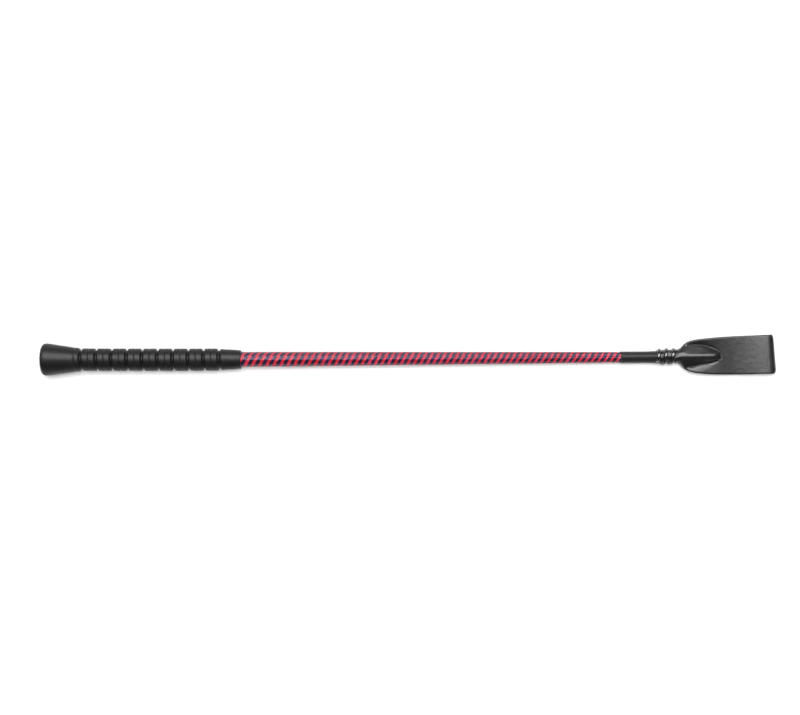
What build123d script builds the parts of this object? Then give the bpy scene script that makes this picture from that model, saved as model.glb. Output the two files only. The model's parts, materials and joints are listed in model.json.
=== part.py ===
from build123d import *
import math
import os

# A riding crop (jumping bat): a tapered fibreglass rod under a braided cover, a ribbed rubber
# grip with a flared butt, and a folded leather keeper bound to the tip.
#
# Everything is drawn along a local X axis that starts at the centre of the butt, and is then
# laid down: the crop lies on its side, +X towards the keeper, +Z up, touching the ground with
# the rim of the butt flare and with the fold of the keeper. All sizes are in millimetres.

# Stations along the crop, measured from the butt
OVERALL_LENGTH = 600.0
FIRST_GROOVE_X = 31.6
GROOVE_PITCH = 12.5
GRIP_SEGMENTS = 9
GRIP_END_X = 162.0
BORE_START_X = 8.0
SLEEVE_END_X = 148.0
LAND_START_X = 163.0
LAND_END_X = 187.0
WHIPPING_START_X = 472.0
WHIPPING_END_X = 501.3
COVER_END_X = 511.0
LEAF_START_X = 519.0
NECK_END_X = 520.0
SHOULDER_MID_X = 525.6
BULGE_NECK_X = 528.0
CAP_START_X = 532.0
SHOULDER_END_X = 534.0
ROD_END_X = 548.0
BULGE_TIP_X = 550.0
CAP_END_X = 554.0
BULGE_END_X = 556.0
SKIVE_START_X = 557.5
KEEPER_HINGE_X = 560.5

# Grip
RIM_RADIUS = 12.9
RIM_ROUND = 2.6
BUTT_DOME = 0.8
FLARE_FOOT_RADIUS = 9.35
FLARE_FOOT_X = 29.0
LAND_RADIUS_BUTT = 8.95
LAND_RADIUS_COLLAR = 8.75
GROOVE_WIDTH = 3.4
GROOVE_DEPTH = 1.4
RING_WIDTH = 1.0
RING_DEPTH = 0.35
COLLAR_RADIUS = 8.45
MOUTH_RADIUS = 7.45
MOUTH_ROUND = 0.8
SLEEVE_RADIUS = 6.6

# Shaft
ROD_RADIUS_BUTT = 4.2
ROD_RADIUS_TIP = 2.3
COVER_GRIPPED_RADIUS = 5.2
COVER_RADIUS = 5.6
COVER_RADIUS_TIP = 4.2
COVER_NECK_RADIUS = 3.9
COVER_TAIL_RADIUS = 3.8
GLUE_GAP = 0.05

# Flexing of the shaft: ball shaped cuts at equal steps
FLEX_FIRST_X = 205.0
FLEX_STEP = 44.0
FLEX_COUNT = 6
BALL_RATIO = 1.25
BALL_GAP = 0.12

# Tip
WHIPPING_RADIUS = 4.65
WHIPPING_RADIUS_END = 4.9
CAP_RADIUS = 3.2
CAP_NOSE_LENGTH = 2.2
CAP_NOSE_RADIUS = 1.9
NECK_RADIUS = 5.1
BINDING_TURNS = 3
BINDING_FIRST_X = 504.8
BINDING_PITCH = 6.3
CORD_RADIUS = 1.0
BINDING_RADIUS = 6.2

# Keeper
LEATHER = 1.7
SKIVED_HALF = 1.3
KEEPER_HALF_WIDTH = 15.8
PLATE_HALF_WIDTH = 15.35
SHOULDER_HALF_WIDTH = 13.5
SHOULDER_MID_HALF_WIDTH = 10.2
PLAN_REACH = 13.0
FOLD_RADIUS = 4.0
FOLD_DROP = 1.24
FLAP_ROOM_SETBACK = 9.0
FLAP_ROOM_POINT_RADIUS = 0.2
HINGE_GAP = 0.3
CORNER_ROUND = 1.5
BULGE_HALF_WIDTH_NECK = 7.0
BULGE_HALF_WIDTH_TIP = 4.4
BULGE_HALF_HEIGHT_NECK = 5.15
BULGE_HALF_HEIGHT_TIP = 4.75
STITCH_ROW_START_X = 525.0
STITCH_ROW_END_X = 550.5
STITCH_OUTSIDE_BULGE = 1.2
STITCH_TIP_LEAD = 2.0
STITCH_TIP_REACH = 4.5
STITCH_LENGTH = 2.4
STITCH_WIDTH = 0.7
STITCH_HEIGHT = 0.45
STITCHES_PER_SIDE = 8
STITCHES_ROUND_TIP = 5

FOLD_CENTRE_X = OVERALL_LENGTH - FOLD_RADIUS
RIM_CENTRE_X = BUTT_DOME + RIM_ROUND


def lay_angle():
    """Angle (radians) about Y at which the butt rim and the keeper's fold reach the same level."""
    run = FOLD_CENTRE_X - RIM_CENTRE_X
    rise = RIM_RADIUS - RIM_ROUND - FOLD_DROP
    slope = math.atan2(rise, run)
    return slope + math.asin((RIM_ROUND - FOLD_RADIUS) / math.hypot(run, rise))


def lay_down():
    """Placement of the crop: axis tilted, lowest points on z = 0, middle of its length at x = 0."""
    t = lay_angle()
    lowest = FOLD_CENTRE_X * math.sin(t) + FOLD_DROP * math.cos(t) + FOLD_RADIUS
    far_end = FOLD_CENTRE_X * math.cos(t) - FOLD_DROP * math.sin(t) + FOLD_RADIUS
    return Pos(-far_end / 2, 0, lowest) * Rot(0, math.degrees(t), 0)


def turned(*lines):
    """Solid turned about the X axis from lines in the XZ plane that start and end on it."""
    return revolve(Plane.XZ * make_face(Curve() + list(lines)), Axis.X)


def turned_outline(points):
    """Solid turned about the X axis from straight runs between (x, radius) points."""
    return turned(Polyline(*points, close=True))


def between(x, x0, x1, a, b):
    """Straight-line value at x of a quantity that is a at x0 and b at x1."""
    return a + (b - a) * (x - x0) / (x1 - x0)


def rod_radius(x):
    return between(x, BORE_START_X, ROD_END_X, ROD_RADIUS_BUTT, ROD_RADIUS_TIP)


def cover_radius(x):
    if x <= LAND_END_X:
        return COVER_RADIUS
    return between(x, LAND_END_X, WHIPPING_START_X, COVER_RADIUS, COVER_RADIUS_TIP)


def land_radius(x):
    last_groove_x = FIRST_GROOVE_X + GRIP_SEGMENTS * GROOVE_PITCH
    return between(x, FIRST_GROOVE_X, last_groove_x, LAND_RADIUS_BUTT, LAND_RADIUS_COLLAR)


def notch(x, width, depth):
    """Three points of a V groove in the grip's ribbed stretch."""
    r = land_radius(x)
    return [(x - width / 2, r), (x, r - depth), (x + width / 2, r)]


def grip_ribs():
    """Outline of the ribbed stretch: V grooves at each step, a fine ring halfway between."""
    points = []
    for i in range(GRIP_SEGMENTS):
        x = FIRST_GROOVE_X + i * GROOVE_PITCH
        points += notch(x, GROOVE_WIDTH, GROOVE_DEPTH)
        points += notch(x + GROOVE_PITCH / 2, RING_WIDTH, RING_DEPTH)
    return points + notch(FIRST_GROOVE_X + GRIP_SEGMENTS * GROOVE_PITCH, GROOVE_WIDTH, GROOVE_DEPTH)


def grip():
    """Rubber grip: domed butt, rounded rim, cone, ribs, tapering collar, and a stepped blind bore."""
    rim_line = RIM_RADIUS - RIM_ROUND
    slant = RIM_ROUND * math.sqrt(0.5)
    ribs = grip_ribs()
    dome = ThreePointArc((0, 0), (BUTT_DOME / 4, rim_line / 2), (BUTT_DOME, rim_line))
    rim = ThreePointArc(
        (BUTT_DOME, rim_line),
        (RIM_CENTRE_X - slant, rim_line + slant),
        (RIM_CENTRE_X, RIM_RADIUS),
    )
    outline = Polyline(
        (RIM_CENTRE_X, RIM_RADIUS),
        (FLARE_FOOT_X, FLARE_FOOT_RADIUS),
        *ribs,
        (ribs[-1][0] + RING_WIDTH, COLLAR_RADIUS),
        (GRIP_END_X - MOUTH_ROUND, MOUTH_RADIUS),
        (GRIP_END_X, MOUTH_RADIUS - MOUTH_ROUND),
        (GRIP_END_X, 0),
        (0, 0),
    )
    bore = turned_outline(
        [
            (BORE_START_X, 0),
            (BORE_START_X, SLEEVE_RADIUS + GLUE_GAP),
            (SLEEVE_END_X, SLEEVE_RADIUS + GLUE_GAP),
            (SLEEVE_END_X, COVER_GRIPPED_RADIUS + GLUE_GAP),
            (GRIP_END_X, COVER_GRIPPED_RADIUS + GLUE_GAP),
            (GRIP_END_X, 0),
        ]
    )
    return turned(dome, rim, outline) - bore


def grip_sleeve():
    """Tube that builds the rod's butt end up to the bore of the grip."""
    start = BORE_START_X + GLUE_GAP
    end = SLEEVE_END_X - GLUE_GAP
    return turned_outline(
        [
            (start, rod_radius(start) + GLUE_GAP),
            (start, SLEEVE_RADIUS),
            (end, SLEEVE_RADIUS),
            (end, rod_radius(end) + GLUE_GAP),
        ]
    )


def whole_rod():
    """Tapered rod from the bottom of the grip's bore to the keeper's pocket."""
    start = BORE_START_X + GLUE_GAP
    return turned_outline(
        [(start, 0), (start, ROD_RADIUS_BUTT), (ROD_END_X, ROD_RADIUS_TIP), (ROD_END_X, 0)]
    )


def whole_cover():
    """Braided cover: a tail gripped by the rubber, a short cylindrical land, then a long taper."""
    return turned_outline(
        [
            (SLEEVE_END_X, rod_radius(SLEEVE_END_X) + GLUE_GAP),
            (SLEEVE_END_X, COVER_GRIPPED_RADIUS),
            (LAND_START_X, COVER_GRIPPED_RADIUS),
            (LAND_START_X, COVER_RADIUS),
            (LAND_END_X, COVER_RADIUS),
            (WHIPPING_START_X, COVER_RADIUS_TIP),
            (WHIPPING_END_X, COVER_NECK_RADIUS),
            (COVER_END_X, COVER_TAIL_RADIUS),
            (COVER_END_X, rod_radius(COVER_END_X) + GLUE_GAP),
        ]
    )


def flex_centres():
    return [FLEX_FIRST_X + i * FLEX_STEP for i in range(FLEX_COUNT)]


def span_shapes():
    """Space of each span of the shaft: every span ends in a ball that sits in the next one's cup."""
    centres = flex_centres()
    stops = [0.0] + centres + [OVERALL_LENGTH]
    reach = 2 * RIM_RADIUS
    shapes = []
    for start, end in zip(stops, stops[1:]):
        length = end - start
        span = Pos(start + length / 2, 0, 0) * Box(length, reach, reach)
        if end in centres:
            span += Pos(end, 0, 0) * Sphere(BALL_RATIO * cover_radius(end))
        if start in centres:
            span -= Pos(start, 0, 0) * Sphere(BALL_RATIO * cover_radius(start) + BALL_GAP)
        shapes.append(span)
    return shapes


def tip_whipping():
    """Thread wound over the end of the braided cover."""
    return turned_outline(
        [
            (WHIPPING_START_X, COVER_RADIUS_TIP + GLUE_GAP),
            (WHIPPING_START_X, WHIPPING_RADIUS),
            (WHIPPING_END_X, WHIPPING_RADIUS_END),
            (WHIPPING_END_X, COVER_NECK_RADIUS + GLUE_GAP),
        ]
    )


def tip_cap():
    """Round-ended cap that keeps the sawn end of the rod from cutting the leather."""
    shoulder = CAP_END_X - CAP_RADIUS
    bore = ROD_END_X + GLUE_GAP
    half = CAP_RADIUS * math.sqrt(0.5)
    return turned(
        Polyline(
            (CAP_END_X, 0),
            (bore, 0),
            (bore, ROD_RADIUS_TIP + GLUE_GAP),
            (CAP_START_X, rod_radius(CAP_START_X) + GLUE_GAP),
            (CAP_START_X, CAP_RADIUS),
            (shoulder, CAP_RADIUS),
        ),
        ThreePointArc((shoulder, CAP_RADIUS), (shoulder + half, half), (CAP_END_X, 0)),
    )


def binding_turns():
    return [BINDING_FIRST_X + i * BINDING_PITCH for i in range(BINDING_TURNS)]


def binding_cord(cord_radius=CORD_RADIUS):
    """The turns of thick cord that clamp the keeper's neck, each as a closed ring."""
    ring = Rot(0, 90, 0) * Torus(BINDING_RADIUS - CORD_RADIUS, cord_radius)
    return [Pos(x, 0, 0) * ring for x in binding_turns()]


def keeper_planform():
    """Upright prism with the keeper's outline seen from above."""
    shoulder = [
        ThreePointArc(
            (LEAF_START_X, side * NECK_RADIUS),
            (SHOULDER_MID_X, side * SHOULDER_MID_HALF_WIDTH),
            (SHOULDER_END_X, side * SHOULDER_HALF_WIDTH),
        )
        for side in (1, -1)
    ]
    sides = [
        Polyline(
            (SHOULDER_END_X, side * SHOULDER_HALF_WIDTH),
            (CAP_END_X, side * PLATE_HALF_WIDTH),
            (OVERALL_LENGTH - CORNER_ROUND, side * KEEPER_HALF_WIDTH),
            (OVERALL_LENGTH, side * (KEEPER_HALF_WIDTH - CORNER_ROUND)),
        )
        for side in (1, -1)
    ]
    ends = [
        Line((LEAF_START_X, NECK_RADIUS), (LEAF_START_X, -NECK_RADIUS)),
        Line(
            (OVERALL_LENGTH, KEEPER_HALF_WIDTH - CORNER_ROUND),
            (OVERALL_LENGTH, CORNER_ROUND - KEEPER_HALF_WIDTH),
        ),
    ]
    outline = make_face(Curve() + shoulder + sides + ends)
    return extrude(outline, PLAN_REACH, both=True)


def side_slab(face):
    """Solid as wide as the keeper from a side view drawn in the XZ plane."""
    return extrude(Plane.XZ * face, KEEPER_HALF_WIDTH + 1, both=True)


def bulge():
    """Swelling of the leather over the rod: elliptical sections from the neck to the rod's end."""
    stations = [
        (LEAF_START_X, NECK_RADIUS, NECK_RADIUS),
        (BULGE_NECK_X, BULGE_HALF_WIDTH_NECK, BULGE_HALF_HEIGHT_NECK),
        (BULGE_TIP_X, BULGE_HALF_WIDTH_TIP, BULGE_HALF_HEIGHT_TIP),
        (BULGE_END_X, BULGE_HALF_WIDTH_TIP / 2, LEATHER),
    ]
    sections = [Plane((x, 0, 0), (0, 1, 0), (1, 0, 0)) * Ellipse(a, b) for x, a, b in stations]
    return loft(sections, ruled=True)


def pocket_bore():
    """Room for the braid's tail, the bare rod and the tip cap inside the keeper."""
    rod = rod_radius(COVER_END_X) + GLUE_GAP
    cap = CAP_RADIUS + GLUE_GAP
    return turned_outline(
        [
            (WHIPPING_END_X, 0),
            (WHIPPING_END_X, COVER_NECK_RADIUS + GLUE_GAP),
            (COVER_END_X + GLUE_GAP, COVER_NECK_RADIUS + GLUE_GAP),
            (COVER_END_X + GLUE_GAP, rod),
            (CAP_START_X - GLUE_GAP, rod),
            (CAP_START_X - GLUE_GAP, cap),
            (CAP_END_X - CAP_NOSE_LENGTH, cap),
            (CAP_END_X + GLUE_GAP, CAP_NOSE_RADIUS),
            (CAP_END_X + GLUE_GAP, 0),
        ]
    )


def keeper_pocket():
    """Fixed part of the keeper: the neck round the shaft and the two stitched leaves round the rod."""
    start = WHIPPING_END_X + GLUE_GAP
    neck = turned_outline(
        [(start, 0), (start, NECK_RADIUS), (NECK_END_X, NECK_RADIUS), (NECK_END_X, 0)]
    )
    plate = make_face(
        Polyline(
            (LEAF_START_X, LEATHER),
            (SKIVE_START_X, LEATHER),
            (KEEPER_HINGE_X, SKIVED_HALF),
            (KEEPER_HINGE_X, -SKIVED_HALF),
            (SKIVE_START_X, -LEATHER),
            (LEAF_START_X, -LEATHER),
            close=True,
        )
    )
    hinge_room = Pos(KEEPER_HINGE_X, 0) * Circle(LEATHER + HINGE_GAP)
    leaves = side_slab(plate - hinge_room) & keeper_planform()
    body = neck + bulge() + leaves - pocket_bore()
    for groove in binding_cord(CORD_RADIUS + GLUE_GAP):
        body -= groove
    return body


def keeper_flap():
    """Free part of the keeper: two leaves joined by a round fold at the far end."""
    outer = make_hull(
        (Pos(KEEPER_HINGE_X, 0) * Circle(LEATHER)).edges()
        + (Pos(FOLD_CENTRE_X, -FOLD_DROP) * Circle(FOLD_RADIUS)).edges()
    )
    room = make_hull(
        (Pos(KEEPER_HINGE_X + FLAP_ROOM_SETBACK, -FOLD_DROP / 4) * Circle(FLAP_ROOM_POINT_RADIUS)).edges()
        + (Pos(FOLD_CENTRE_X, -FOLD_DROP) * Circle(FOLD_RADIUS - LEATHER)).edges()
    )
    return side_slab(outer - room) & keeper_planform()


def stitch_places():
    """Middle point and heading (degrees) of each stitch: two straight rows joined round the tip."""
    wide = BULGE_HALF_WIDTH_NECK + STITCH_OUTSIDE_BULGE
    narrow = BULGE_HALF_WIDTH_TIP + STITCH_OUTSIDE_BULGE
    heading = math.degrees(math.atan2(narrow - wide, STITCH_ROW_END_X - STITCH_ROW_START_X))
    places = []
    for side in (1, -1):
        for i in range(STITCHES_PER_SIDE):
            x = between(i, 0, STITCHES_PER_SIDE - 1, STITCH_ROW_START_X, STITCH_ROW_END_X)
            y = between(x, STITCH_ROW_START_X, STITCH_ROW_END_X, wide, narrow)
            places.append((x, side * y, side * heading))
    for i in range(STITCHES_ROUND_TIP):
        a = between(i, -1, STITCHES_ROUND_TIP, -90, 90)
        x = STITCH_ROW_END_X + STITCH_TIP_LEAD + STITCH_TIP_REACH * math.cos(math.radians(a))
        places.append((x, narrow * math.sin(math.radians(a)), a + 90))
    return places


def pocket_stitching():
    """The seam round the rod pocket: one small block per stitch, on both faces of the leather."""
    block = Box(STITCH_LENGTH, STITCH_WIDTH, STITCH_HEIGHT)
    height = LEATHER + GLUE_GAP + STITCH_HEIGHT / 2
    return [
        Pos(x, y, face * height) * Rot(0, 0, heading) * block
        for face in (1, -1)
        for x, y, heading in stitch_places()
    ]


def nodes():
    """Every node of the crop by name, drawn along its own axis."""
    parts = {"grip": grip(), "grip_sleeve": grip_sleeve()}
    rod = whole_rod()
    cover = whole_cover()
    for number, span in enumerate(span_shapes(), start=1):
        parts[f"core_rod_{number}"] = rod & span
        parts[f"braid_cover_{number}"] = cover & span
    parts["tip_whipping"] = tip_whipping()
    parts["tip_cap"] = tip_cap()
    parts["keeper_pocket"] = keeper_pocket()
    parts["binding_cord"] = binding_cord()
    parts["pocket_stitching"] = pocket_stitching()
    parts["keeper_flap"] = keeper_flap()
    return parts


def main():
    os.makedirs("parts", exist_ok=True)
    placement = lay_down()
    for name, shape in nodes().items():
        solids = shape if isinstance(shape, list) else shape.solids()
        placed = [placement * solid for solid in solids]
        whole = placed[0] if len(placed) == 1 else Compound(children=placed)
        export_step(whole, f"parts/{name}.step")


main()
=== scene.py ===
import json
import math

import bmesh
import bpy
import numpy as np
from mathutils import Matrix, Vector

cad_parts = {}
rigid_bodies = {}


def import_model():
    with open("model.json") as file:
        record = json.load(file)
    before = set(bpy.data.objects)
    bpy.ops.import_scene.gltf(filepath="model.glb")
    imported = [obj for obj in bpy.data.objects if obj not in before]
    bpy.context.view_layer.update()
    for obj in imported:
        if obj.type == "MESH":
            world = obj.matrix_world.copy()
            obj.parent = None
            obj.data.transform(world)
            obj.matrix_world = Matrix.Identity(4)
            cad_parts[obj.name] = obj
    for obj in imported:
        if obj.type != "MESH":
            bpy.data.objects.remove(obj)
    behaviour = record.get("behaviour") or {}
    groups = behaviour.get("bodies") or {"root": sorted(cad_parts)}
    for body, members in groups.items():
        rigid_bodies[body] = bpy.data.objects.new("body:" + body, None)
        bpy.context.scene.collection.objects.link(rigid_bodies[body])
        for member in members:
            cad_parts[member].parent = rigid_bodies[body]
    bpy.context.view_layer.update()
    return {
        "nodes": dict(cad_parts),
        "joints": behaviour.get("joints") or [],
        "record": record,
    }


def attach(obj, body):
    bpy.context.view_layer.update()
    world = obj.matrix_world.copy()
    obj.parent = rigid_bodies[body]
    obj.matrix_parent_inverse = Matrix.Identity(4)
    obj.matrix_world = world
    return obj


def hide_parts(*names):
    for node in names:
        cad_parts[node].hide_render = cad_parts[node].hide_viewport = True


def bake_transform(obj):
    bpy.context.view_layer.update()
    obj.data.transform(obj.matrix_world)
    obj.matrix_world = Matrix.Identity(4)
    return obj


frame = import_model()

# The looks of a riding crop: a ribbed rubber grip, a two-colour braided shaft, a thread
# whipping, and a folded leather keeper stitched round the rod and bound with cord.
# Shapes are worked out in millimetres along the crop's own axis: x runs from the butt to the
# keeper, y across and z up. A turn round the axis is measured from the top towards +y.

METRE = 1000.0

# Grip
FIRST_GROOVE_X = 32.4
GROOVE_PITCH = 12.43
GRIP_SEGMENTS = 9
LAND_RADIUS_BUTT = 9.2
LAND_RADIUS_COLLAR = 9.05
GROOVE_HALF_WIDTH = 1.45
GROOVE_FLOOR_HALF_WIDTH = 0.35
GROOVE_DEPTH = 1.95
GROOVE_LEAN = 0.05
GRIP_BOW = 0.85
GRIP_BOW_FROM_X = 125.0
RING_HALF_WIDTH = 0.55
RING_DEPTH = 0.42
BUTT_RING_X = 27.2
MOUTH_DEPTH = 8.0
GRIP_SEGMENTS_ROUND = 112

# Braid: twelve strands, six each way, over one and under one, each strand two yarns side by side
STRANDS_EACH_WAY = 6
YARNS_PER_STRAND = 2
BRAID_TAPER_FROM_X = 187.0
BRAID_PITCH_TIP = 5.1
BRAID_PITCH_GAIN = 0.64
BRAID_PITCH_FROM_X = 187.0
BRAID_PITCH_FADE = 82.0
YARN_HALF_THICKNESS = 0.27
YARN_FILL = {"red": 0.45, "dark": 0.53}
YARN_PROUD = 0.58
YARN_PROUD_TIP = 0.15
WEAVE_DEPTH = 0.32
WEAVE_TURN = math.radians(-6)
STEPS_PER_CROSSING = 5
BRAID_TUCK = 6.0
BRAID_SINK = 0.7
CORE_LIFT = 0.25
CORE_SEGMENTS = 24

# Thread, cord and stitches
THREAD_PITCH = 0.42
THREAD_TUCK = 0.35
THREAD_STEPS_PER_TURN = 40
UNDERLAY_DEPTH = 0.32
WHIPPING_SWELL = 0.25
WHIPPING_PROUD = 0.15
CORD_RADIUS = 1.0
CORD_TURNS = 3
CORD_SPREAD = 1.5
CORD_PROUD = 0.8
CORD_FIRST_LEAD = 1.0
CORD_LAST_LEAD = 1.8
CORD_START_TURN = math.radians(-60)
CORD_END_TURN = 2 * math.pi * CORD_TURNS - math.radians(80)
CORD_TUCK = 1.3
CORD_TUCK_TURN = 1.0
CORD_THINNING = 0.35
CORD_STEPS_PER_TURN = 64
STITCH_LENGTH = 2.5
STITCH_HALF_WIDTH = 0.42
STITCHES_PER_SIDE = 8
STITCHES_ROUND_TIP = 5
STITCH_FIRST_X = 527.5
STITCH_TIP_ANGLE = 62
STITCH_RISE = 0.3
STITCH_DIP = 0.55
STITCH_TAPER = 0.7
STITCH_FLATNESS = 0.8

# Keeper
LEATHER = 1.6
LEAF_GAP = 0.05
EDGE_ROLL = 0.55
EDGE_ROLL_WIDTH = 1.1
NECK_LEATHER = 1.15
NECK_RADIUS = 5.55
NECK_END_X = 517.0
NECK_WRAP = math.radians(84)
FLATTENING_RUN = 13.0
KEEPER_OUTLINE = [
    (510, 5.55), (517, 5.6), (519.9, 5.85), (521.8, 7.25), (523.4, 8.9), (525.2, 10.6),
    (528, 12.1), (532, 13.2), (539, 14.25), (547, 14.9), (556, 15.35), (570, 15.7), (585, 15.85),
    (600, 16.0),
]
FOLD_RADIUS = 4.0
FOLD_REACH = 7.2
FOLD_DROP = 1.24
FOLD_DROP_FROM_X = 550.0
FOLD_DROP_TO_X = 572.0
BULGE_END_X = 553.4
SEAM_FAR_SIDE = [(520, 7.6), (525, 8.3), (531, 8.7), (539, 8.3), (547, 6.7), (555, 5.0)]
SEAM_NEAR_SIDE = [(520, 7.6), (525, 8.4), (531, 7.8), (539, 6.1), (547, 5.3), (555, 4.8)]
CREST_RADIUS = 4.3
CREST_HEIGHT = 4.15
CREST_FALL = 0.35
CREST_FALL_FROM_X = 530.0
CREST_FALL_TO_X = 552.0
TIP_LENGTH = 9.8
SEAM_OFFSET = 0.7
TROUGH_DEPTH = 0.25
TROUGH_HALF_WIDTH = 0.65
CURL_HEIGHT = 1.0
FLAP_SLANT = math.tan(math.radians(3.4))
FLAP_SLANT_FROM_Y = 15.5
KEEPER_SKEW = math.tan(math.radians(1.5))
SKEW_FROM_X = 542.0
KEEPER_OFFSET = 0.5
KEEPER_OFFSET_RUN = 9.0
PINCH_DEPTH = 0.2
CREASE_DEPTH = 0.15
CREASE_HALF_WIDTH = 1.3
GATHER_COUNT = 11
GATHER_DEPTH = 0.13
CORNER_WEAR_FROM_Y = 12.5
CORNER_WEAR_NEAR = 0.1
CORNER_WEAR_FAR = 0.08
RIM_PROFILE = [(0.1, 0.14), (0.35, 0.24), (0.65, 0.24), (0.9, 0.14)]
POINTS_ACROSS = 97
POINTS_ALONG = 126
FOLD_STEPS = 18

# Studio
CAMERA_X = 291.5
CAMERA_HEIGHT = 1114.0
CAMERA_OFFSET = 0.9
VIEW_ANGLE = math.radians(32.7)
CAMERA_ROLL = math.radians(-0.32)
FLOOR_SIZE = 12.0
KEY_ANGLE = math.radians(29)
KEY_DISTANCE = 1.6
KEY_SIZE = (2.4, 1.05)
KEY_WATTS = 68
FILL_ANGLE = math.radians(7)
FILL_DISTANCE = 2.5
FILL_SIZE = (1.4, 1.4)
FILL_WATTS = 88
ROOM_LIGHT = 0.12
FLAP_TWIST = 0.09


# ---- The crop's own axes -------------------------------------------------------------------

def find_axes():
    """Butt centre and the three directions of the crop's own axes, from the clip mount and the grip."""
    mount = next(m for m in frame["record"]["mounts"] if m["name"] == "rack_clip")
    along = Vector(mount["axis"]).normalized()
    across = Vector((0, 1, 0))
    axes = np.array([along, across, along.cross(across)])
    on_axis = np.array(mount["pos_m"])
    reach = (node_points("grip") - on_axis) @ axes[0]
    return on_axis + reach.min() * axes[0], axes


def node_points(node):
    """Vertices of a CAD node, in metres."""
    data = frame["nodes"][node].data
    points = np.empty(len(data.vertices) * 3)
    data.vertices.foreach_get("co", points)
    return points.reshape(-1, 3)


def local_box(node):
    """Lowest and highest corner of a CAD node along the crop's own axes, in millimetres."""
    points = (node_points(node) - BUTT) @ AXES.T * METRE
    return points.min(axis=0), points.max(axis=0)


def in_frame(points):
    """Points along the crop's own axes, in millimetres, as points of the frame, in metres."""
    return BUTT + np.asarray(points) / METRE @ AXES


BUTT, AXES = find_axes()
GRIP_END_X = local_box("grip")[1][0]
GRIP_RADIUS = local_box("grip")[1][1]
COVER_RADIUS = local_box("braid_cover_1")[1][1]
WHIPPING_START_X = local_box("tip_whipping")[0][0]
WHIPPING_END_X = local_box("tip_whipping")[1][0]
WHIPPING_RADIUS_END = local_box("tip_whipping")[1][1]
WHIPPING_RADIUS = WHIPPING_RADIUS_END - WHIPPING_SWELL
COVER_RADIUS_TIP = WHIPPING_RADIUS - 0.4
CORD_FIRST_X = local_box("binding_cord")[0][0] + CORD_RADIUS - CORD_FIRST_LEAD
CORD_LAST_X = local_box("binding_cord")[1][0] - CORD_RADIUS - CORD_LAST_LEAD
CORD_OUTER_RADIUS = local_box("binding_cord")[1][1]
CORD_PITCH = (CORD_LAST_X - CORD_FIRST_X) / (CORD_TURNS - 1)
KEEPER_START_X = local_box("keeper_pocket")[0][0]
KEEPER_END_X = local_box("keeper_flap")[1][0]
FOLD_CENTRE_X = KEEPER_END_X - FOLD_REACH


# ---- Meshes --------------------------------------------------------------------------------

def skin(name, tubes, grains=None):
    """A mesh over closed rings of points. Each tube is an array of rings, and its ends are closed."""
    faces = []
    first = 0
    for rings in tubes:
        rows, around = rings.shape[:2]
        index = first + np.arange(rows * around).reshape(rows, around)
        beside = np.roll(index, -1, axis=1)
        quads = np.stack([index[:-1], index[1:], beside[1:], beside[:-1]], axis=-1)
        faces += quads.reshape(-1, 4).tolist()
        faces += [index[0].tolist(), index[-1].tolist()]
        first += rows * around
    points = np.concatenate([rings.reshape(-1, 3) for rings in tubes])
    data = bpy.data.meshes.new(name)
    data.from_pydata(in_frame(points).tolist(), [], faces)
    if grains is not None:
        grain = data.attributes.new("grain", "FLOAT_VECTOR", "POINT")
        grain.data.foreach_set("vector", np.concatenate([g.reshape(-1, 3) for g in grains]).ravel())
    face_outwards(data)
    data.polygons.foreach_set("use_smooth", [True] * len(data.polygons))
    piece = bpy.data.objects.new(name, data)
    bpy.context.scene.collection.objects.link(piece)
    return piece


def face_outwards(data):
    """Turn every face's normal to the outside."""
    mesh = bmesh.new()
    mesh.from_mesh(data)
    bmesh.ops.recalc_face_normals(mesh, faces=mesh.faces)
    mesh.to_mesh(data)
    mesh.free()


def unit(vectors):
    """Vectors scaled to length 1."""
    return vectors / np.linalg.norm(vectors, axis=-1, keepdims=True)


def smooth(value, low, high):
    """0 below low, 1 above high, with a soft rise between."""
    t = np.clip((value - low) / (high - low), 0, 1)
    return t * t * (3 - 2 * t)


def flowing(value, stations):
    """Smooth curve through (value, result) stations."""
    places, results = np.array(stations, dtype=float).T
    slopes = np.gradient(results, places)
    i = np.clip(np.searchsorted(places, value) - 1, 0, len(places) - 2)
    span = places[i + 1] - places[i]
    t = np.clip((value - places[i]) / span, 0, 1)
    start = (1 + 2 * t) * results[i] + t * span * slopes[i]
    end = (3 - 2 * t) * results[i + 1] + (t - 1) * span * slopes[i + 1]
    return (1 - t) ** 2 * start + t ** 2 * end


def softened(corners, steps=6):
    """Outline through (x, radius, rounding) corners, each rounded over that distance each way."""
    points = [corners[0][:2]]
    for before, corner, after in zip(corners, corners[1:], corners[2:]):
        p, q, r = (np.array(c[:2]) for c in (before, corner, after))
        start = q + (p - q) / np.linalg.norm(p - q) * corner[2]
        end = q + (r - q) / np.linalg.norm(r - q) * corner[2]
        for t in np.linspace(0, 1, steps):
            points.append((1 - t) ** 2 * start + 2 * t * (1 - t) * q + t ** 2 * end)
    return np.array(points + [corners[-1][:2]])


def turned(outline, segments):
    """Rings of an (x, radius) outline turned about the axis."""
    turn = np.linspace(0, 2 * math.pi, segments, endpoint=False)
    x, radius = outline[:, :1], outline[:, 1:]
    return np.stack([x + 0 * turn, radius * np.sin(turn), radius * np.cos(turn)], axis=-1)


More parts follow.
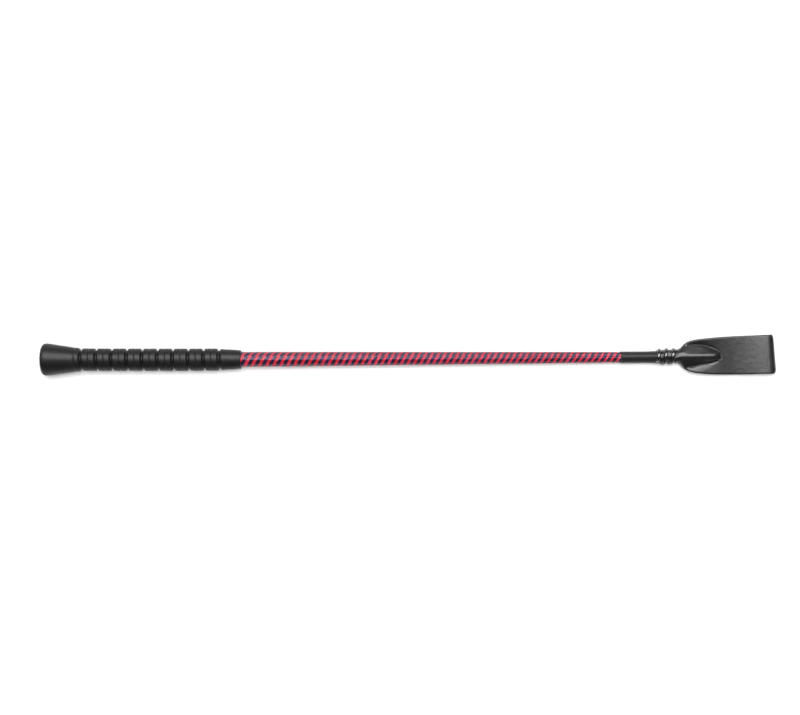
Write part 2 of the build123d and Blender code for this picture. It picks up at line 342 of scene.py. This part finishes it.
def swept(path, outward, half_width, half_height, segments=8, seed=0.0):
    """Rings of an oval section swept along a path, with outward the side that faces out.
    The grain that goes with them is (distance along, place across, seed)."""
    ahead = unit(np.gradient(path, axis=0))
    aside = unit(np.cross(ahead, outward))
    rise = np.cross(aside, ahead)
    angle = np.linspace(-math.pi / 2, 1.5 * math.pi, segments, endpoint=False)
    wide = np.reshape(half_width, (-1, 1, 1)) * np.cos(angle)[:, None]
    high = np.reshape(half_height, (-1, 1, 1)) * np.sin(angle)[:, None]
    rings = path[:, None] + aside[:, None] * wide + rise[:, None] * high
    steps = np.linalg.norm(np.diff(path, axis=0), axis=1)
    along = np.concatenate([[0], np.cumsum(steps)])[:, None] + 0 * angle
    across = wide[..., 0] + 0 * along
    return rings, np.stack([along, across, seed + 0 * along], axis=-1)


def round_axis(x, radius, turn):
    """Points at a radius and a turn round the axis."""
    return np.stack([x + 0 * turn, radius * np.sin(turn), radius * np.cos(turn)], axis=-1)


# ---- Materials -----------------------------------------------------------------------------

def new_material(name, roughness, specular=0.5, coat=0.0, coat_roughness=0.2):
    material = bpy.data.materials.new(name)
    material.use_nodes = True
    shader = material.node_tree.nodes["Principled BSDF"]
    shader.inputs["Roughness"].default_value = roughness
    shader.inputs["Specular IOR Level"].default_value = specular
    shader.inputs["Coat Weight"].default_value = coat
    shader.inputs["Coat Roughness"].default_value = coat_roughness
    return material, shader


def add(material, kind, settings=(), **inputs):
    """A new node with its settings, and its inputs set to values or linked from sockets."""
    node = material.node_tree.nodes.new(kind)
    for setting, value in dict(settings).items():
        setattr(node, setting, value)
    for name, value in inputs.items():
        socket = node.inputs[name.replace("_", " ")]
        if isinstance(value, bpy.types.NodeSocket):
            material.node_tree.links.new(value, socket)
        else:
            socket.default_value = value
    return node


def place_on(material, stretch):
    """The object's own coordinates, in metres, multiplied along each axis."""
    coordinates = add(material, "ShaderNodeTexCoord").outputs["Object"]
    return add(material, "ShaderNodeMapping", Vector=coordinates, Scale=stretch).outputs[0]


def grain_on(material, stretch):
    """The coordinates that run along each yarn, in millimetres, multiplied along each axis."""
    grain = add(material, "ShaderNodeAttribute", {"attribute_name": "grain"}).outputs["Vector"]
    return add(material, "ShaderNodeMapping", Vector=grain, Scale=stretch).outputs[0]


def noise(material, where, scale, detail=3.0):
    return add(material, "ShaderNodeTexNoise", Vector=where, Scale=scale, Detail=detail).outputs["Fac"]


def ramp(material, factor, *stops):
    """Colours at places from 0 to 1."""
    node = add(material, "ShaderNodeValToRGB", Fac=factor)
    elements = node.color_ramp.elements
    while len(elements) < len(stops):
        elements.new(0.5)
    for element, (place, colour) in zip(elements, stops):
        element.position = place
        element.color = (*colour, 1)
    return node.outputs["Color"]


def paint(material, shader, colour):
    material.node_tree.links.new(colour, shader.inputs["Base Color"])


def roughen(material, shader, factor, low, high):
    """Roughness that varies from low to high with a factor."""
    span = add(material, "ShaderNodeMapRange", Value=factor, To_Min=low, To_Max=high)
    material.node_tree.links.new(span.outputs[0], shader.inputs["Roughness"])


def raise_surface(material, shader, *layers):
    """Bump layers, each a height and its depth in metres."""
    normal = None
    for height, depth in layers:
        inputs = {"Height": height, "Distance": depth}
        if normal is not None:
            inputs["Normal"] = normal
        normal = add(material, "ShaderNodeBump", **inputs).outputs["Normal"]
    material.node_tree.links.new(normal, shader.inputs["Normal"])


def rubber():
    material, shader = new_material("moulded_rubber", 0.5, 0.27)
    where = place_on(material, (1, 1, 1))
    bloom = noise(material, where, 90)
    stops = (0.3, (0.006, 0.006, 0.006)), (0.75, (0.009, 0.009, 0.009))
    paint(material, shader, ramp(material, bloom, *stops))
    roughen(material, shader, bloom, 0.38, 0.5)
    fine, coarse = noise(material, where, 2600), noise(material, where, 500)
    raise_surface(material, shader, (fine, 0.00006), (coarse, 0.0001))
    return material


def nylon(name, glint, colours):
    """Glossy filament yarn: fine streaks along it, and a colour that wanders a little."""
    material, shader = new_material(name, 0.2, 0.8, 0.25, 0.1)
    shader.inputs["Specular Tint"].default_value = (*glint, 1)
    tone = noise(material, place_on(material, (1, 1, 1)), 260, 2)
    streaks = noise(material, grain_on(material, (0.35, 9, 1)), 1.6, 2)
    mixed = add(material, "ShaderNodeMath", {"operation": "ADD"})
    material.node_tree.links.new(tone, mixed.inputs[0])
    material.node_tree.links.new(streaks, mixed.inputs[1])
    spread = add(material, "ShaderNodeMapRange", Value=mixed.outputs[0], From_Min=0.6, From_Max=1.4)
    paint(material, shader, ramp(material, spread.outputs[0], *colours))
    roughen(material, shader, streaks, 0.11, 0.22)
    raise_surface(material, shader, (streaks, 0.00005))
    return material


def thread(name, colour, glint, roughness, coat):
    """Twisted black thread: short slanting streaks, the lighter ones with a painted glint in their
    colour.
    """
    material, shader = new_material(name, roughness, 0.5, coat, 0.12)
    streaks = noise(material, grain_on(material, (1.2, 5, 1)), 1.5, 2)
    # The glint colour is a painted highlight: the lighter streaks carry it in their base colour.
    paint(material, shader, ramp(material, streaks, (0.3, colour), (0.75, glint)))
    raise_surface(material, shader, (streaks, 0.00006))
    return material


def leather():
    material, shader = new_material("black_leather", 0.3, 0.42, 0.25, 0.16)
    where = place_on(material, (1, 1, 1))
    edges = {"feature": "DISTANCE_TO_EDGE"}
    pores = add(material, "ShaderNodeTexVoronoi", edges, Vector=where, Scale=1500)
    cells = ramp(material, pores.outputs["Distance"], (0.0, (0, 0, 0)), (0.25, (1, 1, 1)))
    tone = noise(material, where, 120)
    stops = (0.3, (0.006, 0.006, 0.0065)), (0.75, (0.011, 0.011, 0.0115))
    paint(material, shader, ramp(material, tone, *stops))
    roughen(material, shader, tone, 0.25, 0.38)
    raise_surface(material, shader, (cells, 0.00003), (noise(material, where, 260), 0.00018))
    return material


def plain_plastic(name, dark, light, roughness):
    material, shader = new_material(name, roughness)
    tone = noise(material, place_on(material, (1, 1, 1)), 400)
    paint(material, shader, ramp(material, tone, (0.3, dark), (0.7, light)))
    raise_surface(material, shader, (tone, 0.00003))
    return material


def paper_floor():
    material, shader = new_material("studio_paper", 0.9, 0.1)
    tone = noise(material, place_on(material, (1, 1, 1)), 30)
    paint(material, shader, ramp(material, tone, (0.2, (0.9, 0.9, 0.9)), (0.8, (0.92, 0.92, 0.92))))
    return material


def finish_piece(piece, material):
    piece.data.materials.append(material)
    return piece


# ---- Grip ----------------------------------------------------------------------------------

def land_radius(x):
    share = (x - FIRST_GROOVE_X) / (GRIP_SEGMENTS * GROOVE_PITCH)
    return LAND_RADIUS_BUTT + (LAND_RADIUS_COLLAR - LAND_RADIUS_BUTT) * share


def groove_corners(x):
    r = land_radius(x)
    floor = r - GROOVE_DEPTH
    return [
        (x - GROOVE_HALF_WIDTH, r, 0.55),
        (x - GROOVE_FLOOR_HALF_WIDTH, floor, 0.3),
        (x + GROOVE_FLOOR_HALF_WIDTH, floor, 0.3),
        (x + GROOVE_HALF_WIDTH, r, 0.55),
    ]


def ring_corners(x):
    r = land_radius(x)
    return [(x - RING_HALF_WIDTH, r, 0.25), (x, r - RING_DEPTH, 0.15), (x + RING_HALF_WIDTH, r, 0.25)]


def butt_corners():
    """Rounded end and rim, and the cone with a fine ring near its foot: x, radius, rounding."""
    return [
        (0, 0.05, 0),
        (0.15, 6.0, 1.2),
        (0.5, GRIP_RADIUS + 0.2, 3.1),
        (4.2, GRIP_RADIUS + 0.3, 0.5),
        (BUTT_RING_X - 0.7, 9.95, 0.3),
        (BUTT_RING_X, 9.5, 0.2),
        (BUTT_RING_X + 0.7, 9.8, 0.3),
        (BUTT_RING_X + 2.6, 9.6, 0.3),
    ]


def collar_corners(x):
    """Tapering collar with a small step, a rounded lip, and the mouth that the shaft comes out of."""
    mouth = COVER_RADIUS + YARN_PROUD
    return [
        (x + 2.2, 8.7, 0.5),
        (x + 4.0, 8.4, 1.2),
        (GRIP_END_X - 3.8, 7.85, 0.1),
        (GRIP_END_X - 3.6, 7.7, 0.1),
        (GRIP_END_X - 0.3, 7.6, 0.6),
        (GRIP_END_X, mouth, 0.35),
        (GRIP_END_X - MOUTH_DEPTH, mouth, 0),
    ]


def leaning(rings):
    """The grooves sit a little further along on the -y side, and the butt bows to the +y side."""
    x, y = rings[..., 0], rings[..., 1]
    share = smooth(x, 4, BUTT_RING_X) * (1 - smooth(x, GRIP_END_X - 14, GRIP_END_X))
    bow = GRIP_BOW * np.clip(1 - x / GRIP_BOW_FROM_X, 0, None) ** 1.5
    return np.stack([x - GROOVE_LEAN * y * share, y + bow, rings[..., 2]], axis=-1)


def build_grip():
    corners = butt_corners()
    for i in range(GRIP_SEGMENTS):
        x = FIRST_GROOVE_X + i * GROOVE_PITCH
        corners += groove_corners(x) + ring_corners(x + GROOVE_PITCH / 2)
    last_groove_x = FIRST_GROOVE_X + GRIP_SEGMENTS * GROOVE_PITCH
    corners += groove_corners(last_groove_x)[:3] + collar_corners(last_groove_x)
    grip = skin("grip_rubber_shell", [leaning(turned(softened(corners), GRIP_SEGMENTS_ROUND))])
    finish_piece(grip, rubber())
    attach(grip, "handle")
    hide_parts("grip")


# ---- Braided shaft -------------------------------------------------------------------------

def braid_radius(x):
    """Outside of the braid: it tapers to the tip and sinks under the whipping."""
    taper = np.clip((x - BRAID_TAPER_FROM_X) / (WHIPPING_START_X - BRAID_TAPER_FROM_X), 0, 1)
    start, end = COVER_RADIUS + YARN_PROUD, COVER_RADIUS_TIP + YARN_PROUD_TIP
    sunk = BRAID_SINK * smooth(x, WHIPPING_START_X - 0.6, WHIPPING_START_X + 1.2)
    return start + (end - start) * taper - sunk


def braid_stations():
    """Evenly turned stations along the shaft: x, and how far a strand has turned there."""
    x = np.linspace(GRIP_END_X - BRAID_TUCK, WHIPPING_START_X + BRAID_TUCK, 4000)
    pitch = BRAID_PITCH_TIP + BRAID_PITCH_GAIN * np.exp((BRAID_PITCH_FROM_X - x) / BRAID_PITCH_FADE)
    rate = 2 * math.pi / (STRANDS_EACH_WAY / 2 * pitch)
    turn = np.concatenate([[0], np.cumsum((rate[1:] + rate[:-1]) / 2 * np.diff(x))])
    step = math.pi / STRANDS_EACH_WAY / STEPS_PER_CROSSING
    even = np.arange(0, turn[-1], step)
    return np.interp(even, turn, x), even


def strand(x, turn, number, way, fill):
    """The two yarns of a strand that turns one way (1) or the other (-1)."""
    place = number * 2 * math.pi / STRANDS_EACH_WAY + way * turn
    lift = way * WEAVE_DEPTH * np.cos(STRANDS_EACH_WAY * place)
    radius = braid_radius(x) - 2 * YARN_HALF_THICKNESS + lift
    outward = round_axis(0 * x, 1, place + WEAVE_TURN)
    path = round_axis(x, radius, place + WEAVE_TURN)
    slope = radius * np.gradient(turn) / np.gradient(x)
    spacing = 2 * math.pi / STRANDS_EACH_WAY * radius / np.sqrt(1 + slope ** 2)
    half = spacing * fill / YARNS_PER_STRAND
    aside = unit(np.cross(unit(np.gradient(path, axis=0)), outward))
    yarns = []
    for side in (-1, 1):
        yarn = path + aside * (side * half)[:, None]
        seed = number * 7.3 + way * 3.1 + side
        yarns.append(swept(yarn, outward, half * 1.02, YARN_HALF_THICKNESS, 8, seed))
    return yarns


def braid_spans():
    """Stretches of braid, one across each bend of the shaft: bodies, and where each starts and ends."""
    bends = [j for j in frame["joints"] if j["name"].startswith("shaft_bend")]
    centres = [float((np.array(j["pos_m"]) - BUTT) @ AXES[0] * METRE) for j in bends]
    half = (centres[1] - centres[0]) / 2
    return [(j["parent"], j["child"], x - half, x + half) for j, x in zip(bends, centres)]


def cut(parts, first, last):
    return [part[first:last] for part in parts]


def build_braid():
    x, turn = braid_stations()
    colours = {"red": [], "dark": []}
    for number in range(STRANDS_EACH_WAY):
        pair = ("red", "dark") if number % 2 == 0 else ("dark", "red")
        for colour, way in zip(pair, (1, -1)):
            colours[colour] += strand(x, turn, number, way, YARN_FILL[colour])
    core_radius = braid_radius(x) - 4 * YARN_HALF_THICKNESS + CORE_LIFT
    core = turned(np.stack([x, core_radius], axis=-1), CORE_SEGMENTS)
    colours["dark"].append((core, 0 * core))
    looks = {
        "red": nylon("red_nylon", (1, 0.8, 0.9), [
            (0.0, (0.34, 0.004, 0.012)), (0.5, (0.55, 0.016, 0.032)), (1.0, (0.61, 0.042, 0.125))]),
        "dark": nylon("navy_nylon", (0.8, 0.6, 1), [
            (0.0, (0.001, 0.001, 0.003)), (0.5, (0.003, 0.002, 0.014)), (1.0, (0.02, 0.006, 0.07))]),
    }
    spans = braid_spans()
    for number, (parent, child, start, end) in enumerate(spans, start=1):
        first = 0 if number == 1 else int(np.searchsorted(x, start))
        last = len(x) if number == len(spans) else int(np.searchsorted(x, end)) + 1
        covers = [number, number + 1] if number == len(spans) else [number]
        nodes = [f"braid_cover_{cover}" for cover in covers]
        for colour, yarns in colours.items():
            tubes, grains = zip(*[cut(yarn, first, last) for yarn in yarns])
            piece = skin(f"braid_{colour}_{number}", tubes, grains)
            finish_piece(piece, looks[colour])
            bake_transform(piece)
            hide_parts(*nodes)


# ---- Whipping and binding ------------------------------------------------------------------

def build_whipping():
    """Fine thread wound turn beside turn over the end of the braid."""
    turns = (WHIPPING_END_X - WHIPPING_START_X) / THREAD_PITCH
    turn = np.linspace(0, 2 * math.pi * turns, int(turns * THREAD_STEPS_PER_TURN))
    x = WHIPPING_START_X + THREAD_PITCH * turn / (2 * math.pi)
    share = (x - WHIPPING_START_X) / (WHIPPING_END_X - WHIPPING_START_X)
    swell = smooth(share, 0.7, 1.0) * (WHIPPING_RADIUS_END - WHIPPING_RADIUS)
    ends = (1 - smooth(turn, 0, 1.5)) + smooth(turn, turn[-1] - 1.5, turn[-1])
    radius = WHIPPING_RADIUS + WHIPPING_PROUD + swell - THREAD_PITCH / 2 - THREAD_TUCK * ends
    outward = round_axis(0 * x, 1, turn)
    wound = swept(round_axis(x, radius, turn), outward, THREAD_PITCH * 0.52, THREAD_PITCH / 2, 6)
    under = turned(np.array([
        (WHIPPING_START_X, WHIPPING_RADIUS - UNDERLAY_DEPTH),
        (WHIPPING_END_X, WHIPPING_RADIUS_END - UNDERLAY_DEPTH),
    ]), 40)
    whipping = skin("tip_whipping_thread", [wound[0], under], [wound[1], 0 * under])
    # Black thread; its second colour, on the lighter streaks, is a painted glint.
    look = thread("black_thread", (0.008, 0.008, 0.009), (0.022, 0.022, 0.023), 0.4, 0.1)
    finish_piece(whipping, look)
    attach(whipping, "tip")
    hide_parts("tip_whipping")


def cord_x(turn):
    """Where the binding lies along the axis after a turn; it crosses the +y side at each CAD ring."""
    return CORD_FIRST_X + CORD_PITCH * (turn / (2 * math.pi) - 0.25)


def build_binding():
    """Thick cord wound round the keeper's neck, both ends tucked under, pressed flat below."""
    turn = np.linspace(CORD_START_TURN, CORD_END_TURN, CORD_STEPS_PER_TURN * CORD_TURNS)
    tucked = 1 - smooth(turn, CORD_START_TURN, CORD_START_TURN + CORD_TUCK_TURN)
    tucked += smooth(turn, CORD_END_TURN - CORD_TUCK_TURN, CORD_END_TURN)
    proud = CORD_PROUD * smooth(np.cos(turn), -1.0, -0.4)
    radius = CORD_OUTER_RADIUS + proud - CORD_RADIUS - CORD_TUCK * tucked
    outward = round_axis(0 * turn, 1, turn)
    path = set_aside(round_axis(cord_x(turn), radius, turn))
    size = CORD_RADIUS * (1 - CORD_THINNING * tucked)
    rings, grain = swept(path, outward, size * CORD_SPREAD, size, 16)
    binding = skin("neck_binding_cord", [rings], [grain])
    # Waxed cord; its second colour, on the lighter streaks, is a painted glint.
    look = thread("waxed_black_cord", (0.004, 0.004, 0.004), (0.01, 0.01, 0.01), 0.2, 1.0)
    finish_piece(binding, look)
    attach(binding, "tip")
    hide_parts("binding_cord")


# ---- Keeper --------------------------------------------------------------------------------

def set_aside(points):
    """The keeper sits a little to the +y side of the shaft."""
    run = smooth(points[..., 0], KEEPER_START_X, KEEPER_START_X + KEEPER_OFFSET_RUN)
    points[..., 1] += KEEPER_OFFSET * run
    return points


def keeper_half_width(x):
    return flowing(x, KEEPER_OUTLINE)


def bulge_reach(x, side):
    """Half-width of the swelling over the rod, on the side of y that is given."""
    return np.where(side > 0, flowing(x, SEAM_FAR_SIDE), flowing(x, SEAM_NEAR_SIDE))


def bulge_height(x, y):
    """Leather drawn tight over the rod: a round crest, and straight flanks down to the seams."""
    reach = bulge_reach(x, y)
    crest = CREST_HEIGHT - CREST_FALL * smooth(x, CREST_FALL_FROM_X, CREST_FALL_TO_X)
    centre = crest - CREST_RADIUS
    distance = np.hypot(reach, centre)
    slope = math.pi / 2 + np.arctan(centre / reach) - np.arccos(CREST_RADIUS / distance)
    aside = np.abs(y)
    touch = CREST_RADIUS * np.sin(slope)
    arc = np.sqrt(CREST_RADIUS ** 2 - np.minimum(aside, touch) ** 2)
    flank = np.clip(aside - touch, 0, None) * np.tan(slope)
    beyond = np.clip((x - (BULGE_END_X - TIP_LENGTH)) / TIP_LENGTH, 0, 1)
    return np.clip(centre + arc - flank - crest * (1 - np.sqrt(1 - beyond ** 2)), 0, None)


def seam_trough(x, y):
    """A shallow trough where the stitches pull the two leaves together."""
    reach = bulge_reach(x, y) + SEAM_OFFSET
    beyond = np.clip((x - (BULGE_END_X - TIP_LENGTH)) / (TIP_LENGTH + SEAM_OFFSET), 0, None)
    place = np.sqrt((y / reach) ** 2 + beyond ** 2) - 1
    return TROUGH_DEPTH * np.exp(-(place * reach / TROUGH_HALF_WIDTH) ** 2) * smooth(x, 524, 528)


def margin_curl(x, y, width):
    """The margins beside the seam lift a little towards their edges."""
    reach = bulge_reach(x, y) + SEAM_OFFSET
    out = np.clip((np.abs(y) - reach) / np.maximum(width - reach, 1), 0, 1)
    return CURL_HEIGHT * (1 - (1 - out) ** 1.8) * smooth(x, 524, 530) * (1 - smooth(x, 533, 561))


def rounded_edge(y, width):
    """How far the cut edges of the leather roll down."""
    return EDGE_ROLL * np.clip(1 - (width - np.abs(y)) / EDGE_ROLL_WIDTH, 0, None) ** 2


def neck_pinch(x, turn):
    """How far the neck is drawn in at a place round it: by the binding, and in small gathers."""
    offset = (x - cord_x(turn) + CORD_PITCH / 2) % CORD_PITCH - CORD_PITCH / 2
    bound = smooth(x, CORD_FIRST_X - 3.5, CORD_FIRST_X - 1.5)
    bound *= 1 - smooth(x, CORD_LAST_X + 0.6, CORD_LAST_X + 2.2)
    crease = CREASE_DEPTH * np.exp(-(offset / CREASE_HALF_WIDTH) ** 2)
    gathered = smooth(x, CORD_FIRST_X, CORD_FIRST_X + 2)
    gathered *= 1 - smooth(x, CORD_LAST_X + 3, CORD_LAST_X + 10)
    gathers = GATHER_DEPTH * np.cos(GATHER_COUNT * turn + 3 * np.sin(x / 3.1))
    return bound * (PINCH_DEPTH + crease) + gathered * gathers


def leaf_height(x, y):
    """Height of a leaf's outer surface above the middle of the keeper, where the leaves are sewn."""
    return LEATHER + LEAF_GAP + bulge_height(x, y) - seam_trough(x, y)


def leaf_outside(x, w, face):
    """Outer surface of a leaf, with w from -1 to 1 across it and face 1 on top or -1 below."""
    flat = smooth(x, NECK_END_X, NECK_END_X + FLATTENING_RUN)
    width = keeper_half_width(x)
    bent = NECK_WRAP * w
    turn = bent if face > 0 else math.pi - bent
    radius = NECK_RADIUS - neck_pinch(x, turn)
    y = (1 - flat) * (radius + width - NECK_RADIUS) * np.sin(bent) + flat * width * w
    opening = smooth(x, BULGE_END_X, FOLD_CENTRE_X)
    sheet = leaf_height(x, y) + (FOLD_RADIUS - LEATHER - LEAF_GAP) * opening
    sheet += margin_curl(x, y, width) - rounded_edge(y, width)
    z = (1 - flat) * radius * np.cos(bent) + flat * sheet
    drop = FOLD_DROP * smooth(x, FOLD_DROP_FROM_X, FOLD_DROP_TO_X)
    twist = FLAP_TWIST * y * opening if face > 0 else 0
    return np.stack([x + 0 * w, y, face * z - drop - twist], axis=-1)


def fold_outside(angle, w):
    """Outer surface of the round fold at the keeper's far end."""
    x = FOLD_CENTRE_X + FOLD_REACH * np.cos(angle)
    width = keeper_half_width(x)
    y = width * w
    twist = FLAP_TWIST * y / 2
    half = FOLD_RADIUS - twist - rounded_edge(y, width)
    return np.stack([x + 0 * w, y, half * np.sin(angle) - FOLD_DROP - twist], axis=-1)


def slanted(points):
    """The flap's end is cut a little askew, and the flap has taken a slight set to one side."""
    x, y, z = points[..., 0], points[..., 1], points[..., 2]
    free = np.clip((x - BULGE_END_X) / (KEEPER_END_X - BULGE_END_X), 0, None)
    worn = np.clip(np.abs(y) - CORNER_WEAR_FROM_Y, 0, None) ** 2
    corner = worn * np.where(y < 0, CORNER_WEAR_NEAR, CORNER_WEAR_FAR)
    corner *= smooth(x, KEEPER_END_X - 3, KEEPER_END_X)
    x = x - FLAP_SLANT * (y + FLAP_SLANT_FROM_Y) * free ** 2 - corner
    y = y + KEEPER_SKEW * np.clip(x - SKEW_FROM_X, 0, None)
    return set_aside(np.stack([x, y, z], axis=-1))


def cut_edge(outside, inward, thick, edge, beside):
    """The rounded cut edge of the leather, from the outer surface to the inner one."""
    away = unit(outside[:, edge] - outside[:, beside])
    return np.stack([
        outside[:, edge] + inward[:, edge] * thick[:, 0] * depth + away * thick[:, 0] * bulge
        for depth, bulge in RIM_PROFILE
    ], axis=1)


def keeper_rings():
    """Sections across the folded strip, from the neck on top, round the fold, back to the neck."""
    across = np.sin(np.linspace(-math.pi / 2, math.pi / 2, POINTS_ACROSS))
    x = np.linspace(KEEPER_START_X, FOLD_CENTRE_X, POINTS_ALONG)[:, None]
    angle = np.linspace(math.pi / 2, -math.pi / 2, FOLD_STEPS)[1:-1, None]
    top = leaf_outside(x, across, 1)
    below = leaf_outside(x[::-1], across, -1)
    outside = slanted(np.concatenate([top, fold_outside(angle, across), below]))
    inward = unit(np.cross(np.gradient(outside, axis=1), np.gradient(outside, axis=0)))
    distance = np.concatenate([x, KEEPER_END_X + 0 * angle, x[::-1]])[..., None]
    full = smooth(distance, NECK_END_X - 2, NECK_END_X + 10)
    thick = NECK_LEATHER + (LEATHER - NECK_LEATHER) * full
    inside = outside + inward * thick
    far_rim = cut_edge(outside, inward, thick, -1, -2)
    near_rim = cut_edge(outside, inward, thick, 0, 1)[:, ::-1]
    return np.concatenate([outside, far_rim, inside[:, ::-1], near_rim], axis=1)


def build_keeper():
    keeper = skin("folded_leather_keeper", [keeper_rings()])
    finish_piece(keeper, leather())
    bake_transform(keeper)
    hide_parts("keeper_pocket", "keeper_flap")


def seam_point(x, side):
    return np.array([x, side * (bulge_reach(x, side) + SEAM_OFFSET)])


def seam_points():
    """Middle and heading of each stitch on one face: along both sides, then round the tip."""
    places = []
    for side in (1, -1):
        for x in np.linspace(STITCH_FIRST_X, BULGE_END_X - TIP_LENGTH - 0.5, STITCHES_PER_SIDE):
            ahead, behind = seam_point(x + 0.5, side), seam_point(x - 0.5, side)
            places.append(((ahead + behind) / 2, unit(ahead - behind)))
    length = TIP_LENGTH + SEAM_OFFSET
    for angle in np.linspace(-STITCH_TIP_ANGLE, STITCH_TIP_ANGLE, STITCHES_ROUND_TIP):
        a = math.radians(angle)
        reach = bulge_reach(BULGE_END_X, a) + SEAM_OFFSET
        middle = np.array([BULGE_END_X - TIP_LENGTH + length * math.cos(a), reach * math.sin(a)])
        places.append((middle, unit(np.array([-length * math.sin(a), reach * math.cos(a)]))))
    return places


def build_stitching():
    """Short arched stitches that dip into the leather at both ends."""
    tubes, grains = [], []
    step = np.linspace(-1, 1, 11)
    for face in (1, -1):
        for number, (middle, heading) in enumerate(seam_points()):
            along = middle + np.outer(step * STITCH_LENGTH / 2, heading)
            surface = leaf_height(along[:, 0], along[:, 1])
            z = face * (surface + STITCH_RISE - STITCH_DIP * step ** 4)
            path = set_aside(np.column_stack([along, z]))
            outward = np.tile([0.0, 0.0, face], (len(step), 1))
            size = STITCH_HALF_WIDTH * np.sqrt(1 - STITCH_TAPER * step ** 4)
            rings, grain = swept(path, outward, size, size * STITCH_FLATNESS, 8, number + 40 * face)
            tubes.append(rings)
            grains.append(grain)
    stitching = skin("pocket_seam_stitching", tubes, grains)
    # Seam thread; its second colour, on the lighter streaks, is a painted glint.
    look = thread("seam_thread", (0.008, 0.008, 0.008), (0.035, 0.035, 0.035), 0.35, 0.2)
    finish_piece(stitching, look)
    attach(stitching, "tip")
    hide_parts("pocket_stitching")


# ---- Inner parts that stay as the CAD has them ---------------------------------------------

def dress_inner_parts():
    glass = plain_plastic("fibreglass_rod", (0.5, 0.48, 0.4), (0.62, 0.6, 0.52), 0.3)
    sleeve = plain_plastic("sleeve_plastic", (0.03, 0.03, 0.032), (0.05, 0.05, 0.052), 0.45)
    cap = plain_plastic("cap_plastic", (0.012, 0.012, 0.012), (0.02, 0.02, 0.02), 0.4)
    looks = {"grip_sleeve": sleeve, "tip_cap": cap}
    for name, node in frame["nodes"].items():
        if name.startswith("core_rod"):
            looks[name] = glass
    for name, material in looks.items():
        data = frame["nodes"][name].data
        data.materials.clear()
        data.materials.append(material)


# ---- Studio --------------------------------------------------------------------------------

def build_camera():
    data = bpy.data.cameras.new("camera")
    data.angle = VIEW_ANGLE
    camera = bpy.data.objects.new("camera", data)
    bpy.context.scene.collection.objects.link(camera)
    below = in_frame((CAMERA_X, CAMERA_OFFSET, 0))
    camera.location = Vector(below) + Vector((0, 0, CAMERA_HEIGHT / METRE))
    camera.rotation_euler = (0, 0, CAMERA_ROLL)
    bpy.context.scene.camera = camera


def build_floor():
    data = bpy.data.meshes.new("floor")
    half = FLOOR_SIZE / 2
    corners = [(-half, -half, 0), (half, -half, 0), (half, half, 0), (-half, half, 0)]
    data.from_pydata(corners, [], [(0, 1, 2, 3)])
    floor = bpy.data.objects.new("floor", data)
    bpy.context.scene.collection.objects.link(floor)
    data.materials.append(paper_floor())


def add_softbox(name, size, watts, angle, distance):
    """A rectangular light over the middle of the crop, leant over to the +y side by an angle."""
    data = bpy.data.lights.new(name, "AREA")
    data.shape = "RECTANGLE"
    data.size, data.size_y = size
    data.energy = watts
    lamp = bpy.data.objects.new(name, data)
    bpy.context.scene.collection.objects.link(lamp)
    lamp.location = distance * Vector((0, math.sin(angle), math.cos(angle)))
    lamp.rotation_euler = (-angle, 0, 0)
    return lamp


def light_studio():
    """A long softbox that only gives gloss, an overhead one that only gives tone, and a dim room."""
    world = bpy.data.worlds.new("studio")
    bpy.context.scene.world = world
    world.use_nodes = True
    background = world.node_tree.nodes["Background"]
    background.inputs["Color"].default_value = (1, 1, 1, 1)
    background.inputs["Strength"].default_value = ROOM_LIGHT
    key = add_softbox("key_softbox", KEY_SIZE, KEY_WATTS, KEY_ANGLE, KEY_DISTANCE)
    key.visible_diffuse = False
    fill = add_softbox("overhead_fill", FILL_SIZE, FILL_WATTS, FILL_ANGLE, FILL_DISTANCE)
    fill.visible_glossy = False
    bpy.context.scene.view_settings.view_transform = "Standard"


build_camera()
build_floor()
light_studio()
build_grip()
build_braid()
build_whipping()
build_binding()
build_keeper()
build_stitching()
dress_inner_parts()
